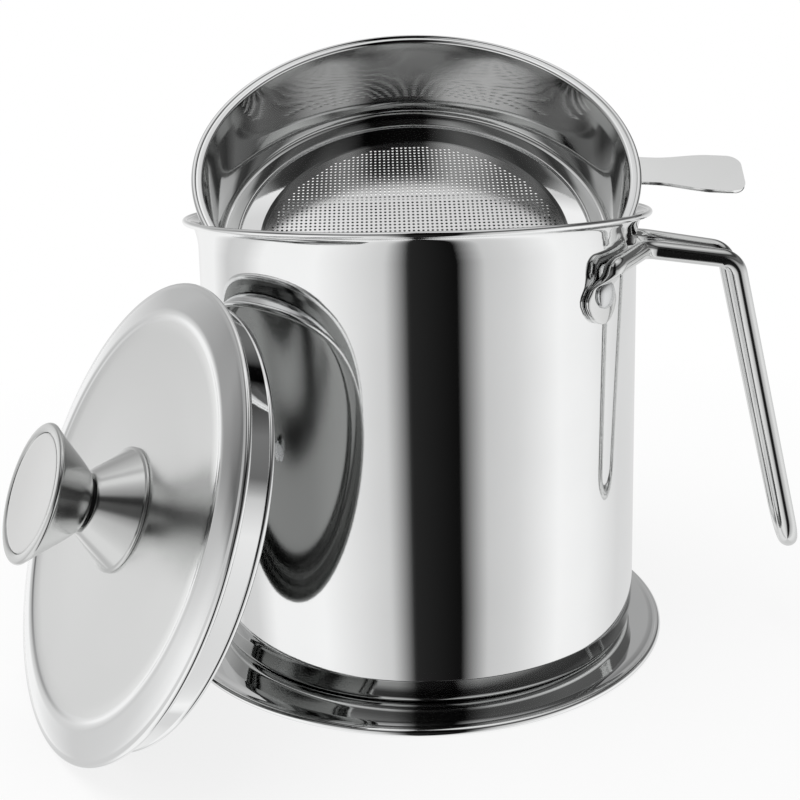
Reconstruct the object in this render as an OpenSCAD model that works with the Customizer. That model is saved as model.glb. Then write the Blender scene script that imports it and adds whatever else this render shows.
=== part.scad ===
// Kitchen grease keeper: a polished steel pot with a bent rod handle, standing on a
// round tray, with a tab-handled strainer tipped up in its mouth and its lid leaning
// beside it. Millimetres. +Z up, origin on the pot's axis at the surface it stands on,
// handle along +X.

/* [Pot] */
// outer radius of the straight wall
pot_r = 70; // [50:0.5:100]
// height of the top of the rolled lip above the surface
pot_top = 135.4; // [80:0.1:200]
// sheet thickness
pot_t = 0.6; // [0.4:0.1:1.5]
// how far the rolled lip stands out from the wall
lip_out = 4.6; // [3:0.1:8]
// radius of the lip's rolled bead
lip_bead = 0.9; // [0.5:0.1:2]
// height of the tapered band above the bottom corner
band_h = 4.9; // [0:0.1:12]
// how far the tapered band draws in
band_in = 0.75; // [0:0.05:3]
// bottom corner radius
corner_r = 2.6; // [1:0.1:8]

/* [Tray] */
// how far its rolled edge stands out from the pot's wall
tray_out = 11.4; // [4:0.1:30]
// height of the flat that the pot stands on
tray_top = 2.2; // [1.6:0.1:6]
// sheet thickness
tray_t = 0.8; // [0.4:0.1:1.5]
// radius of the rolled edge
tray_bead = 1.0; // [0.6:0.1:2]
// how far the tray lies off the pot's axis, along and across the handle
tray_off = [-2.3, -0.4]; // [-5:0.1:5]

/* [Handle] */
// rod diameter
rod_d = 5.5; // [3:0.1:8]
// depth below the pot's top of the rod's upper run where it leaves the pot
grip_drop = 10.9; // [5:0.1:40]
// half the gap between the rods' centres at the pot
grip_w0 = 17.5; // [8:0.1:30]
// outer bend: reach beyond the pot's wall, half gap and depth below the pot's top
grip_bend = [27.9, 12.9, 14.6]; // [5:0.1:120]
// where the U at the free end starts: reach, half gap and depth, as above
grip_end = [45.3, 9.3, 95.1]; // [5:0.1:120]
// bend radius at the pot and at the outer bend
grip_rb = 6; // [4:0.1:15]
// angle of each flattened lobe to either side of the handle
lobe_az = 33.3; // [6:0.1:50]
// depth below the pot's top of the rivet through each lobe
rivet_drop = 21.1; // [12:0.1:60]
// lobe radius and thickness
lobe_r = 7.2; // [5:0.1:12]
lobe_t = 2; // [1:0.1:3]
// rivet head and shank diameters
rivet_head = 8; // [5:0.1:12]
rivet_d = 4; // [2:0.1:6]
// gap between the rod and the wall, and between the rod's end and the rivet's head
rod_gap = 1.05; // [0.2:0.05:3]
head_gap = 0.45; // [0.2:0.05:2]
// height of the bend above the round rod's end
neck_h = 2.7; // [2.5:0.1:6]

/* [Strainer] */
// clearance between its wall and the pot's wall
ring_fit = 1.5; // [0.5:0.1:6]
// how much the wall narrows from the rim to the ledge
ring_taper = 0.9; // [0:0.1:6]
// how far the rolled rim stands out from the wall's inside, and its bead's radius
rim_out = 3.7; // [2.5:0.1:8]
rim_bead = 0.8; // [0.5:0.1:1.5]
// depth of the ledge below the rim, and its width
ledge_d = 32.8; // [10:0.1:60]
ledge_w = 5.6; // [3:0.1:12]
// how far the wall's foot turns in before the ledge starts
ledge_turn = 1.6; // [1:0.1:2.5]
// width and height of the sloping collar between the ledge and the flat mesh
collar_w = 8.7; // [3:0.1:20]
collar_h = 2.4; // [1:0.1:20]
// sheet thickness
ring_t = 0.6; // [0.4:0.1:1.5]
// mesh thickness, hole size and hole spacing of the stand-in pattern
mesh_t = 0.5; // [0.3:0.1:1]
mesh_hole = 3.2; // [1:0.1:5]
mesh_pitch = 6; // [3:0.1:10]
// tab handle: length beyond the rim, root width, end width, thickness
tab_l = 31; // [15:0.1:60]
tab_w0 = 10.8; // [6:0.1:20]
tab_w1 = 16.2; // [8:0.1:30]
tab_t = 1.2; // [0.8:0.1:2.5]
// length of its neck, length of the flare after it, corner radius, angle round the rim
tab_neck = 8; // [3:0.1:20]
tab_flare = 12; // [3:0.1:20]
tab_corner = 4; // [1:0.1:8]
tab_az = 84; // [0:1:360]
// how it is tipped: angle, compass direction that the mouth faces
strain_tilt = 37.3; // [0:0.1:60]
strain_az = -78.6; // [-180:0.1:180]
// middle of its rim: off the pot's axis, and above the pot's top
strain_at = [0.9, -4.2, 17]; // [-20:0.1:60]

/* [Lid] */
// how much smaller its rolled edge is than the pot's wall
lid_in = 5; // [-6:0.1:20]
// radius of the lid's rolled edge
lid_bead = 0.9; // [0.5:0.1:2]
// sheet thickness
lid_t = 0.6; // [0.4:0.1:1.5]
// width of the raised flange, its rise, height of the panel's middle
flange_w = 9.5; // [5:0.1:20]
flange_h = 2.5; // [0.5:0.1:8]
panel_h = 0.8; // [0:0.1:8]
// depth of the skirt's back edge below the rim, and radius of its rolled edge
skirt_d = 9.7; // [4:0.1:20]
skirt_bead = 1.0; // [0.5:0.1:2]
// how the lid leans back, and the compass direction that its knob faces
lid_lean = 22.8; // [0:0.1:45]
lid_az = 224.7; // [0:0.1:360]
// middle of the lid, measured from the corner of the square round the pot's wall
lid_off = [1, -11]; // [-60:0.1:20]

/* [Knob] */
// radius of the foot, the waist and the face edge
knob_foot = 17.2; // [8:0.1:30]
knob_waist = 8; // [4:0.1:15]
knob_edge = 18.6; // [8:0.1:30]
// heights of the waist groove and of the face above the rim plane
knob_z1 = 11.7; // [5:0.1:25]
knob_z2 = 26.4; // [12:0.1:50]
// width and radius of the dark groove ring
groove_w = 0.9; // [0.4:0.1:3]
groove_r = 6.6; // [3:0.1:12]
// width of the rim round the inset face disc
face_rim = 2.8; // [1.5:0.1:6]
// screw shank and head diameters, and how far it runs into the top cone
screw_d = 4; // [2:0.1:6]
screw_head = 8; // [5:0.1:12]
screw_in = 7; // [3:0.1:9]

/* [Hidden] */
$fn = 96;
steel = [0.78, 0.79, 0.79];
dull = [0.62, 0.63, 0.64];
dark = [0.08, 0.08, 0.09];
pot_ri = pot_r - pot_t;
lip_z = pot_top - lip_bead;
lip_c = pot_r + lip_out - lip_bead;
tray_r = pot_r + tray_out;
ring_r0 = pot_ri - ring_t - ring_fit;
ring_r1 = ring_r0 - ring_taper;
rim_r = ring_r0 + rim_out;
ledge_r = ring_r1 - ledge_w;
mesh_r = ledge_r - collar_w;
mesh_d = ledge_d + collar_h;
tab_root = ring_r0 + 1.2;
tab_r = rim_r + tab_l;
lid_r = pot_r - lid_in;
panel_r = lid_r - flange_w;
face_r = knob_edge - face_rim;
lid_c = lid_r - lid_bead;
lid_z = lid_c * cos(lid_lean) + lid_bead + 0.02;
skirt_c = (lid_z - sin(lid_lean) * (skirt_d - skirt_bead) - skirt_bead) / cos(lid_lean) - 0.02;
skirt_r = skirt_c + lid_t;
rod_r = rod_d / 2;
lobe_ro = pot_r + lobe_t;
rivet_z = pot_top - rivet_drop;

function arc(c, r, a0, a1, n) =
    [for (i = [0:n]) c + r * [cos(a0 + (a1 - a0) * i / n), sin(a0 + (a1 - a0) * i / n)]];
function unit(v) = v / norm(v);

// a round bar from p to q
module bar(p, q, d) {
    v = q - p;
    translate(p) rotate([0, acos(v.z / norm(v)), atan2(v.y, v.x)]) cylinder(h = norm(v), d = d);
}
// the bend that rounds corner b between a and c, with bend radius r
module bend(a, b, c, r, d) {
    u = unit(a - b);
    w = unit(c - b);
    turn = 180 - acos(u * w);
    reach = r * tan(turn / 2);
    m = unit(u + w);
    cen = b + m * r / cos(turn / 2);
    e = unit(b + u * reach - cen);
    f = -u;
    g = cross(e, f);
    translate(cen)
        rotate([atan2(f.z, g.z), -asin(e.z), atan2(e.y, e.x)])
            rotate_extrude(angle = turn) translate([r, 0]) circle(d = d, $fn = 40);
}
function cut(a, b, c, r) = r * tan((180 - acos(unit(a - b) * unit(c - b))) / 2);

module tray() color(steel) translate([tray_off.x, tray_off.y, 0]) {
    rotate_extrude() polygon([[0, tray_top - tray_t], [0, tray_top], [tray_r - 3.2, tray_top],
        [tray_r - tray_bead, 2 * tray_bead], [tray_r - tray_bead, tray_bead],
        [tray_r - 3.2, tray_top - tray_t]]);
    rotate_extrude() translate([tray_r - tray_bead, tray_bead]) circle(r = tray_bead, $fn = 32);
}

module pot_body() color(steel) difference() {
    c = [pot_r - band_in - corner_r, tray_top + corner_r];
    z1 = tray_top + corner_r + band_h;
    union() {
        rotate_extrude() polygon(concat(
            [[0, tray_top + 0.8], [c.x - 6, tray_top + 0.8], [c.x - 5, tray_top]],
            arc(c, corner_r, -90, 0, 6),
            [[pot_r, z1], [pot_r, lip_z - 8], [pot_r + 0.45, lip_z - 4.6],
             [pot_r + 1.3, lip_z - 1.6], [pot_r + 2.2, lip_z - 0.5], [lip_c, lip_z - 0.3],
             [lip_c, lip_z + 0.4], [pot_r + 1.8, lip_z + 0.2], [pot_r + 0.75, lip_z - 1.1],
             [pot_ri + 0.45, lip_z - 4.5], [pot_ri, lip_z - 8], [pot_ri, z1]],
            arc(c, corner_r - pot_t, 0, -90, 6),
            [[c.x - 5.1, tray_top + pot_t], [c.x - 6.1, tray_top + 0.8 + pot_t],
             [0, tray_top + 0.8 + pot_t]]));
        rotate_extrude() translate([lip_c, lip_z]) circle(r = lip_bead, $fn = 32);
    }
    for (s = [-1, 1]) rotate([0, 0, s * lobe_az]) translate([pot_r - 5, 0, rivet_z])
        rotate([0, 90, 0]) cylinder(h = 10, d = rivet_d, $fn = 48);
}

// the flattened end of the rod, curved to the pot's wall, with its rivet hole
module lobe() {
    // radius and height of its upper end, and how far its flanks lie inside the two circles
    r2 = 3.8;
    l = 6.8;
    k = 0.97;
    difference() {
        intersection() {
            rotate([0, 0, 180]) translate([0, 0, rivet_z - 12]) cylinder(h = 26, r = lobe_ro, $fn = 180);
            translate([pot_r - 6, 0, rivet_z - 1.2]) union() {
                rotate([0, 90, 0]) cylinder(h = 14, r = lobe_r, $fn = 64);
                translate([0, 0, l]) rotate([0, 90, 0]) cylinder(h = 14, r = r2, $fn = 48);
                rotate([90, 0, 90]) linear_extrude(14) polygon([k * lobe_r * [0.87, 0.5],
                    k * r2 * [0.87, 0.5] + [0, l], k * r2 * [-0.87, 0.5] + [0, l],
                    k * lobe_r * [-0.87, 0.5]]);
            }
        }
        rotate([0, 0, 180]) translate([0, 0, rivet_z - 20]) cylinder(h = 40, r = pot_r, $fn = 180);
        translate([pot_r - 6, 0, rivet_z]) rotate([0, 90, 0]) cylinder(h = 14, d = rivet_d, $fn = 48);
    }
}

// a point at radius r, angle az and height z
function polar(r, az, z) = [r * cos(az), r * sin(az), z];
// a point given by its reach beyond the wall, half gap and depth below the pot's top
function off_mouth(v) = [pot_r + v.x, v.y, pot_top - v.z];

// one side of the loop: up from the lobe, round the wall, out and down
module rod_side() {
    rw = pot_r + rod_r;
    az1 = asin(grip_w0 / (rw + rod_gap));
    neck_rb = rod_r + 0.25;
    end_z = rivet_z + rivet_head / 2 + head_gap + rod_r;
    a = polar(rw + 0.15, lobe_az, end_z);
    p = polar(rw + rod_gap, lobe_az - 2, end_z + neck_h);
    b = polar(rw + rod_gap, az1, pot_top - grip_drop);
    c = off_mouth(grip_bend);
    d = off_mouth(grip_end);
    kp = cut(a, p, b, neck_rb);
    kb = cut(p, b, c, grip_rb);
    kc = cut(b, c, d, grip_rb);
    ends = [a, p + unit(a - p) * kp, p + unit(b - p) * kp, b + unit(p - b) * kb,
            b + unit(c - b) * kb, c + unit(b - c) * kc, c + unit(d - c) * kc, d];
    for (i = [0:2:6]) bar(ends[i], ends[i + 1], rod_d, $fn = 40);
    bend(a, p, b, neck_rb, rod_d);
    bend(p, b, c, grip_rb, rod_d);
    bend(b, c, d, grip_rb, rod_d);
    // a ball at each end of a bend blends the runs
    for (v = ends) translate(v) sphere(d = rod_d + 0.02, $fn = 40);
    // the rod flattens into its lobe
    e = polar(pot_r + 1.1, lobe_az, end_z - 2.5);
    v = a - e;
    translate(e) rotate([0, acos(v.z / norm(v)), atan2(v.y, v.x)])
        cylinder(h = norm(v) + 0.02, d1 = 1.6, d2 = rod_d, $fn = 40);
}

module handle_rod() color(steel) {
    for (k = [0, 1]) mirror([0, k, 0]) {
        rotate([0, 0, lobe_az]) lobe();
        rod_side();
    }
    // the U at the free end, in the plane of the two legs
    d = off_mouth(grip_end);
    leg = d - off_mouth(grip_bend);
    f = unit([leg.x, 0, leg.z]);
    g = cross([0, 1, 0], f);
    translate([d.x, 0, d.z]) rotate([atan2(f.z, g.z), 0, 90])
        rotate_extrude(angle = 180) translate([d.y, 0]) circle(d = rod_d, $fn = 40);
}

module rivet(s) color(dull) rotate([0, 0, s * lobe_az]) translate([0, 0, rivet_z]) rotate([0, 90, 0]) {
    translate([0, 0, pot_ri - 1.3]) cylinder(h = lobe_ro - pot_ri + 1.7, d = rivet_d - 0.04, $fn = 48);
    // outer head, slightly domed, and flat inner head
    translate([0, 0, lobe_ro + 0.02]) cylinder(h = 0.9, d = rivet_head, $fn = 48);
    translate([0, 0, lobe_ro + 0.92]) cylinder(h = 0.9, d1 = rivet_head, d2 = rivet_head * 0.6, $fn = 48);
    translate([0, 0, pot_ri - 1.33]) cylinder(h = 1.2, d = rivet_head + 1, $fn = 48);
}

module tip_up() translate(strain_at + [0, 0, pot_top]) rotate([0, 0, strain_az])
    rotate([0, strain_tilt, 0]) children();

module strainer_ring() color(steel) tip_up() {
    b = rim_bead;
    zf = -b;
    rotate_extrude() polygon([[rim_r - b, zf + 0.3], [ring_r0 + 0.7, zf + 0.3], [ring_r0 + 0.1, zf - 0.1],
        [ring_r0, zf - 0.8], [ring_r1, -ledge_d + 1.6], [ring_r1 - 0.5, -ledge_d + 0.5],
        [ring_r1 - ledge_turn, -ledge_d], [ring_r1 - ledge_turn, -ledge_d - ring_t],
        [ring_r1 - ledge_turn + 0.2, -ledge_d - ring_t], [ring_r1 + 0.1, -ledge_d],
        [ring_r1 + ring_t, -ledge_d + 1.4], [ring_r0 + ring_t, zf - 0.9],
        [ring_r0 + ring_t + 0.3, zf - 0.3], [rim_r - b, zf - 0.3]]);
    rotate_extrude() translate([rim_r - b, zf]) circle(r = b, $fn = 32);
}

// flat ledge with the sloping frame below it that carries the mesh
module mesh_frame() color(steel) tip_up() {
    z0 = -ledge_d - ring_t;
    z1 = -mesh_d;
    edge = ring_r1 - ledge_turn - 0.05;
    rotate_extrude() polygon([[edge, z0], [edge, -ledge_d], [ledge_r, -ledge_d], [ledge_r, z0],
        [ledge_r - 1.2, z0], [mesh_r + 1.4, z1],
        [mesh_r - 1.4, z1], [mesh_r - 1.4, z1 - ring_t], [mesh_r + 1.2, z1 - ring_t],
        [ledge_r - 1.2, z0 - ring_t - 0.2], [edge - 1, z0 - ring_t], [edge - 1, z0]]);
}

// thin round ring that covers the ledge's inner edge
module mesh_ring() color(steel) tip_up()
    rotate_extrude() translate([ledge_r - 0.55, -ledge_d - 0.05]) circle(r = 0.54, $fn = 24);

module strainer_mesh() color(dull) tip_up() translate([0, 0, -mesh_d]) linear_extrude(mesh_t) difference() {
    circle(r = mesh_r);
    n = floor(mesh_r / mesh_pitch);
    for (i = [-n:n], j = [-n:n])
        if (norm([i, j]) * mesh_pitch < mesh_r - mesh_hole - 1)
            translate([i, j] * mesh_pitch) circle(d = mesh_hole, $fn = 24);
}

module strainer_tab() color(steel) tip_up() difference() {
    neck = rim_r + tab_neck;
    wide = neck + tab_flare;
    square_end = tab_r - tab_corner;
    rotate([0, 0, tab_az]) translate([0, 0, -1.1 - tab_t]) linear_extrude(tab_t) difference() {
        union() {
            polygon([[tab_root, -tab_w0 / 2], [neck, -tab_w0 / 2 - 0.4], [wide, -tab_w1 / 2],
                [square_end, -tab_w1 / 2], [square_end, tab_w1 / 2], [wide, tab_w1 / 2],
                [neck, tab_w0 / 2 + 0.4], [tab_root, tab_w0 / 2]]);
            translate([square_end - 1, -tab_w1 / 2 + tab_corner])
                square([tab_corner + 1, tab_w1 - 2 * tab_corner]);
            for (s = [-1, 1]) translate([square_end, s * (tab_w1 / 2 - tab_corner)])
                circle(r = tab_corner, $fn = 48);
        }
        circle(r = tab_root);
    }
    // seat for the rolled rim
    rotate_extrude() translate([rim_r - rim_bead, -rim_bead]) circle(r = rim_bead, $fn = 32);
}

module lean() translate([lid_off.x - pot_r, lid_off.y - pot_r, lid_z]) rotate([0, 0, lid_az])
    rotate([0, 90 - lid_lean, 0]) children();
// underside of the flange at radius r
function under(r) = flange_h - lid_t - (flange_h - 0.7) * (r - panel_r - 1) / (lid_c - panel_r - 1);

module lid_shell() color(steel) lean() difference() {
    dish = [panel_r - 35.5, panel_r - 15.5];
    union() {
        rotate_extrude() polygon([[0, panel_h], [dish[0], panel_h + 0.05], [dish[1], panel_h + 0.4],
            [panel_r - 2.4, panel_h + 1.1], [panel_r - 0.8, flange_h - 0.2], [panel_r, flange_h],
            [panel_r + 1, flange_h], [lid_c, under(lid_c) + lid_t], [lid_c, under(lid_c)],
            [panel_r + 1, under(panel_r + 1)], [panel_r + 0.1, flange_h - lid_t],
            [panel_r - 0.6, flange_h - 0.2 - lid_t], [panel_r - 2.3, panel_h + 1.1 - lid_t],
            [dish[1], panel_h + 0.4 - lid_t], [dish[0], panel_h + 0.05 - lid_t], [0, panel_h - lid_t]]);
        rotate_extrude() translate([lid_c, 0]) circle(r = lid_bead, $fn = 32);
    }
    translate([0, 0, -5]) cylinder(h = 10, d = screw_d + 0.2, $fn = 48);
}

module lid_skirt() color(steel) lean() {
    zb = -skirt_d + skirt_bead;
    rotate_extrude() polygon([[skirt_r - lid_t, under(skirt_r - lid_t)], [skirt_r, under(skirt_r)],
        [skirt_r, zb], [skirt_r - lid_t, zb]]);
    rotate_extrude() translate([skirt_c, zb]) circle(r = skirt_bead, $fn = 32);
}

module knob_foot_cone() color(steel) lean() difference() {
    rotate_extrude() polygon([[0, panel_h], [knob_foot - 0.6, panel_h + 0.05], [knob_foot, panel_h + 0.6],
        [knob_foot - 0.3, panel_h + 1.2], [knob_foot - 3.4, knob_z1 - 6.7], [knob_waist + 0.5, knob_z1 - 0.6],
        [knob_waist - 0.2, knob_z1], [0, knob_z1]]);
    translate([0, 0, -1]) cylinder(h = knob_z1 + 2, d = screw_d + 0.2, $fn = 48);
}

module knob_groove_ring() color(dark) lean() translate([0, 0, knob_z1]) difference() {
    cylinder(h = groove_w, r = groove_r);
    translate([0, 0, -1]) cylinder(h = groove_w + 2, d = screw_d + 0.2, $fn = 48);
}

module knob_top_cone() color(steel) lean() difference() {
    z0 = knob_z1 + groove_w;
    rotate_extrude() polygon([[0, z0], [knob_waist - 0.2, z0], [knob_waist + 0.5, z0 + 0.6],
        [knob_waist + 5.4, knob_z2 - 7.4], [knob_edge - 0.5, knob_z2 - 1.4], [knob_edge, knob_z2 - 0.8],
        [knob_edge - 0.2, knob_z2 - 0.2], [knob_edge - 0.8, knob_z2], [face_r + 0.1, knob_z2],
        [face_r + 0.1, knob_z2 - 1.2], [0, knob_z2 - 1.2]]);
    translate([0, 0, z0 - 1]) cylinder(h = screw_in + 2, d = screw_d - 0.04, $fn = 48);
}

module knob_face() color(steel) lean() rotate_extrude()
    polygon([[0, knob_z2 - 1.2], [face_r, knob_z2 - 1.2], [face_r, knob_z2 - 0.3],
             [face_r - 0.5, knob_z2 - 0.15], [face_r - 7.8, knob_z2 - 0.35], [0, knob_z2 - 0.45]]);

// screw from inside the lid up through the foot and the groove ring into the top cone
module knob_screw() color(dull) lean() {
    shank = knob_z1 + groove_w + screw_in - panel_h + lid_t;
    translate([0, 0, panel_h - lid_t]) cylinder(h = shank, d = screw_d, $fn = 48);
    translate([0, 0, panel_h - lid_t - 2.2]) difference() {
        cylinder(h = 2.2, d = screw_head, $fn = 64);
        translate([-5, -0.6, -0.1]) cube([10, 1.2, 1.1]);
    }
}

tray();
pot_body();
handle_rod();
rivet(-1);  // rivet_front
rivet(1);  // rivet_rear
strainer_ring();
mesh_frame();
mesh_ring();
strainer_mesh();
strainer_tab();
lid_shell();
lid_skirt();
knob_foot_cone();
knob_groove_ring();
knob_top_cone();
knob_face();
knob_screw();
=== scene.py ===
"""Looks for the polished steel grease pot: pot on a tray, strainer tipped up in its mouth,
lid leaning beside it. Sizes below are in millimetres and repeat the part's own values."""

import math

import bpy
import bmesh
from mathutils import Matrix, Vector


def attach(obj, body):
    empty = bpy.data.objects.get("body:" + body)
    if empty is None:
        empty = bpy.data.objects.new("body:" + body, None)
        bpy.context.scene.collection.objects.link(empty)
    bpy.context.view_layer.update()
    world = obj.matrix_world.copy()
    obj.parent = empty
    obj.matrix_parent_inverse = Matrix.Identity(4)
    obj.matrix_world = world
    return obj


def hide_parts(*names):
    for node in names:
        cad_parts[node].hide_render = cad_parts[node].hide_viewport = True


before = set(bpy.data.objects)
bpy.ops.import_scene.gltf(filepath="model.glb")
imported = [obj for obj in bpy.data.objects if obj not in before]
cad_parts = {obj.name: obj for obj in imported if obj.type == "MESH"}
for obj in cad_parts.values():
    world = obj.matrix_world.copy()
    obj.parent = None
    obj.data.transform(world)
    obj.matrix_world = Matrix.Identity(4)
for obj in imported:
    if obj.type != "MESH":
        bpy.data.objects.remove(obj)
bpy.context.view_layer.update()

MM = 0.001
COS, SIN, RAD = math.cos, math.sin, math.radians


# ---------------------------------------------------------------- camera
HANDLE_TURN = RAD(9.77)
CAM_YAW, CAM_PITCH, CAM_ROLL = -0.0418 - HANDLE_TURN, 0.157, -0.0254
CAM_AT = (57.4, -333.0, 161.54)
CAM_SENSOR, CAM_LENS, CAM_SHIFT = 36, 46.72, (0.0326, -0.1332)


def make_camera():
    """The photograph's viewpoint. Yaw is turned by the handle's direction."""
    yaw, pitch, roll = CAM_YAW, CAM_PITCH, CAM_ROLL
    fwd = Vector((SIN(yaw) * COS(pitch), COS(yaw) * COS(pitch), -SIN(pitch)))
    right = Vector((COS(yaw), -SIN(yaw), 0))
    up = right.cross(fwd)
    r = COS(roll) * right + SIN(roll) * up
    u = -SIN(roll) * right + COS(roll) * up
    cam = bpy.data.cameras.new("view")
    ob = bpy.data.objects.new("view", cam)
    bpy.context.scene.collection.objects.link(ob)
    m = Matrix((r, u, -fwd)).transposed().to_4x4()
    m.translation = Vector(CAM_AT) * MM
    ob.matrix_world = m
    cam.sensor_width = CAM_SENSOR
    cam.lens = CAM_LENS
    cam.shift_x, cam.shift_y = CAM_SHIFT
    cam.clip_start, cam.clip_end = 0.01, 60
    bpy.context.scene.camera = ob


make_camera()


# ---------------------------------------------------------------- places of the tipped pieces
def turned_frame(pos, az, tilt):
    """Matrix of a piece that is tipped by tilt about its own y, turned to az and set at pos."""
    turned = Matrix.Rotation(RAD(az), 4, "Z") @ Matrix.Rotation(RAD(tilt), 4, "Y")
    return Matrix.Translation(Vector(pos) * MM) @ turned


STRAINER = turned_frame((0.9, -4.2, 152.4), -78.6, 37.3)
LID_R, LID_BEAD, LID_T, PANEL_R, FLANGE_H, PANEL_H = 65.0, 0.9, 0.6, 55.5, 2.5, 0.8
SKIRT_D, SKIRT_BEAD, LEAN, LID_AZ = 9.7, 1.0, 22.8, 224.7
LID_C = LID_R - LID_BEAD
LID_Z = LID_C * COS(RAD(LEAN)) + LID_BEAD + 0.02
LID = turned_frame((-69.0, -81.0, LID_Z), LID_AZ, 90 - LEAN)


# ---------------------------------------------------------------- materials
class Nodes:
    """Short calls for a node tree."""

    def __init__(self, tree):
        self.tree = tree

    def add(self, kind, **values):
        n = self.tree.nodes.new(kind)
        for k, v in values.items():
            setattr(n, k, v)
        return n

    def link(self, a, b):
        self.tree.links.new(a, b)

    def math(self, op, *values):
        """The result of a sum, of plain numbers and other nodes' results."""
        n = self.add("ShaderNodeMath", operation=op)
        for v, socket in zip(values, n.inputs):
            if hasattr(v, "links"):
                self.link(v, socket)
            else:
                socket.default_value = v
        return n.outputs[0]

    def ramp(self, fac, stops):
        """Greys or colours by stops of (position, grey or colour)."""
        n = self.add("ShaderNodeValToRGB")
        el = n.color_ramp.elements
        while len(el) < len(stops):
            el.new(0.5)
        for e, (p, c) in zip(el, stops):
            e.position = p
            e.color = c if isinstance(c, tuple) else (c, c, c, 1)
        self.link(fac, n.inputs[0])
        return n.outputs[0]

    def noise(self, at, scale, detail, rough=0.5, flat=False):
        """Noise by place, or by a single number where flat."""
        n = self.add("ShaderNodeTexNoise", noise_dimensions="1D" if flat else "3D")
        self.link(at, n.inputs["W" if flat else "Vector"])
        n.inputs["Scale"].default_value = scale
        n.inputs["Detail"].default_value = detail
        n.inputs["Roughness"].default_value = rough
        return n.outputs["Fac"]


LINE_DEPTH = 0.0001                            # metres that a bump height of 1 stands for
CLOUD_SCALE, FINE_SCALE, WAVE_SCALE = 38, 2600, 22
FINE_DEPTH = 0.012
CLOUD_SHARE, LINE_SHARE = 0.6, 0.4             # what the roughness follows
CLOUD_DARK = 0.965                             # the clouds' tint against the plain tint
SPREAD = (0.3, 0.7)                            # where the noise mostly lies
GRAIN_SCALE, GRAIN_DARK, GRAIN_BUMP, PLASTIC_ROUGH = 900, 0.8, 0.3, 0.5


def set_bump(t, bsdf, height, strength):
    """Fine relief on the surface."""
    bump = t.add("ShaderNodeBump")
    bump.inputs["Distance"].default_value = LINE_DEPTH
    bump.inputs["Strength"].default_value = strength
    t.link(height, bump.inputs["Height"])
    t.link(bump.outputs[0], bsdf.inputs["Normal"])


def metal(name, tint=(0.9, 0.905, 0.905), rough=(0.03, 0.06), turned=0.0, turn_scale=900,
          along="r", wave=0.0, axis=None):
    """Polished or satin steel. turned: depth of fine turning lines about the piece's own axis, by
    distance from it ("r") or along it ("z"). wave: slow unevenness of the sheet. axis: the piece's
    placement, where it doesn't stand on the origin."""
    m = bpy.data.materials.new(name)
    m.use_nodes = True
    t = Nodes(m.node_tree)
    bsdf = m.node_tree.nodes["Principled BSDF"]
    bsdf.inputs["Metallic"].default_value = 1
    co = t.add("ShaderNodeTexCoord").outputs["Object"]
    if axis is not None:
        # back from the part's frame to the piece's own, where its axis is z
        back = t.add("ShaderNodeMapping", vector_type="TEXTURE")
        back.inputs["Location"].default_value = axis.to_translation()
        back.inputs["Rotation"].default_value = axis.to_euler()
        t.link(co, back.inputs[0])
        co = back.outputs[0]
    sep = t.add("ShaderNodeSeparateXYZ")
    t.link(co, sep.inputs[0])
    if along == "r":
        x2 = t.math("MULTIPLY", sep.outputs[0], sep.outputs[0])
        y2 = t.math("MULTIPLY", sep.outputs[1], sep.outputs[1])
        w = t.math("SQRT", t.math("ADD", x2, y2))
    else:
        w = sep.outputs[2]
    lines = t.noise(w, scale=turn_scale, detail=3, rough=0.7, flat=True)
    cloud = t.noise(co, scale=CLOUD_SCALE, detail=3)
    fine = t.noise(co, scale=FINE_SCALE, detail=1)
    # roughness: fine lines and faint handling marks
    marks = t.math("ADD", t.math("MULTIPLY", cloud, CLOUD_SHARE), t.math("MULTIPLY", lines, LINE_SHARE))
    r = t.add("ShaderNodeMapRange")
    t.link(marks, r.inputs["Value"])
    for end, value in zip(("From Min", "From Max", "To Min", "To Max"), SPREAD + rough):
        r.inputs[end].default_value = value
    t.link(r.outputs[0], bsdf.inputs["Roughness"])
    # colour: a few hundredths darker in places
    c = t.ramp(cloud, [(0.25, tuple(v * CLOUD_DARK for v in tint) + (1,)), (0.75, tint + (1,))])
    t.link(c, bsdf.inputs["Base Color"])
    h = t.math("MULTIPLY", fine, FINE_DEPTH)
    if turned:
        h = t.math("ADD", h, t.math("MULTIPLY", lines, turned))
    if wave:
        slow = t.noise(co, scale=WAVE_SCALE, detail=0)
        h = t.math("ADD", h, t.math("MULTIPLY", slow, wave))
    set_bump(t, bsdf, h, 1.0)
    return m


def plastic(name, colour):
    """Plastic with a fine grain."""
    m = bpy.data.materials.new(name)
    m.use_nodes = True
    t = Nodes(m.node_tree)
    bsdf = m.node_tree.nodes["Principled BSDF"]
    co = t.add("ShaderNodeTexCoord").outputs["Object"]
    grain = t.noise(co, scale=GRAIN_SCALE, detail=3)
    tones = (tuple(v * GRAIN_DARK for v in colour) + (1,), colour + (1,))
    t.link(t.ramp(grain, list(zip(SPREAD, tones))), bsdf.inputs["Base Color"])
    bsdf.inputs["Roughness"].default_value = PLASTIC_ROUGH
    set_bump(t, bsdf, grain, GRAIN_BUMP)
    return m


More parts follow.
